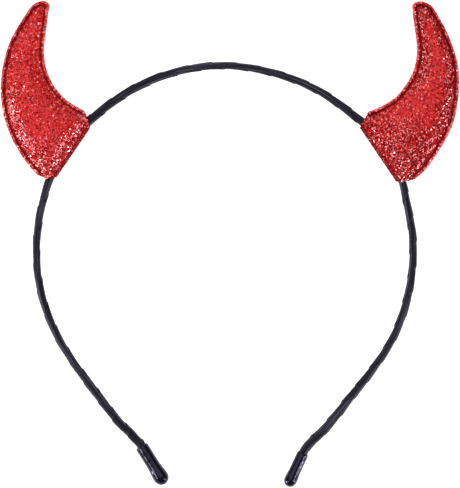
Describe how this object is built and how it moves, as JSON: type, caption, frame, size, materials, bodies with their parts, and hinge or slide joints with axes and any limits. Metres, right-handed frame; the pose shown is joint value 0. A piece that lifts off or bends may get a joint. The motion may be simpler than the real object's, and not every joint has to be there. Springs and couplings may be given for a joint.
{
  "type": "devil horns headband",
  "caption": "Springy ribbon-wound wire hoop headband with stuffed red glitter cloth devil horns and black rubber end caps.",
  "frame": {"origin": "below the middle of the whole headband, on the surface that it lies on", "axes": "the headband lies on its back: +X to the right as seen from its front, +Y from the open ends towards the crown and the horns' tips, +Z out of the horns' fronts"},
  "size_m": [0.1677, 0.1781, 0.0076],
  "materials": {
    "black_satin_ribbon": "soft satin sheen, fine weave",
    "red_glitter_cloth": "red cloth covered with fine glitter, stuffed",
    "black_rubber": "glossy"
  },
  "bodies": {
    "root": {"wound_hoop": "black_satin_ribbon", "horn_left": "red_glitter_cloth", "horn_right": "red_glitter_cloth", "end_cap_left": "black_rubber", "end_cap_right": "black_rubber"}
  },
  "joints": []
}
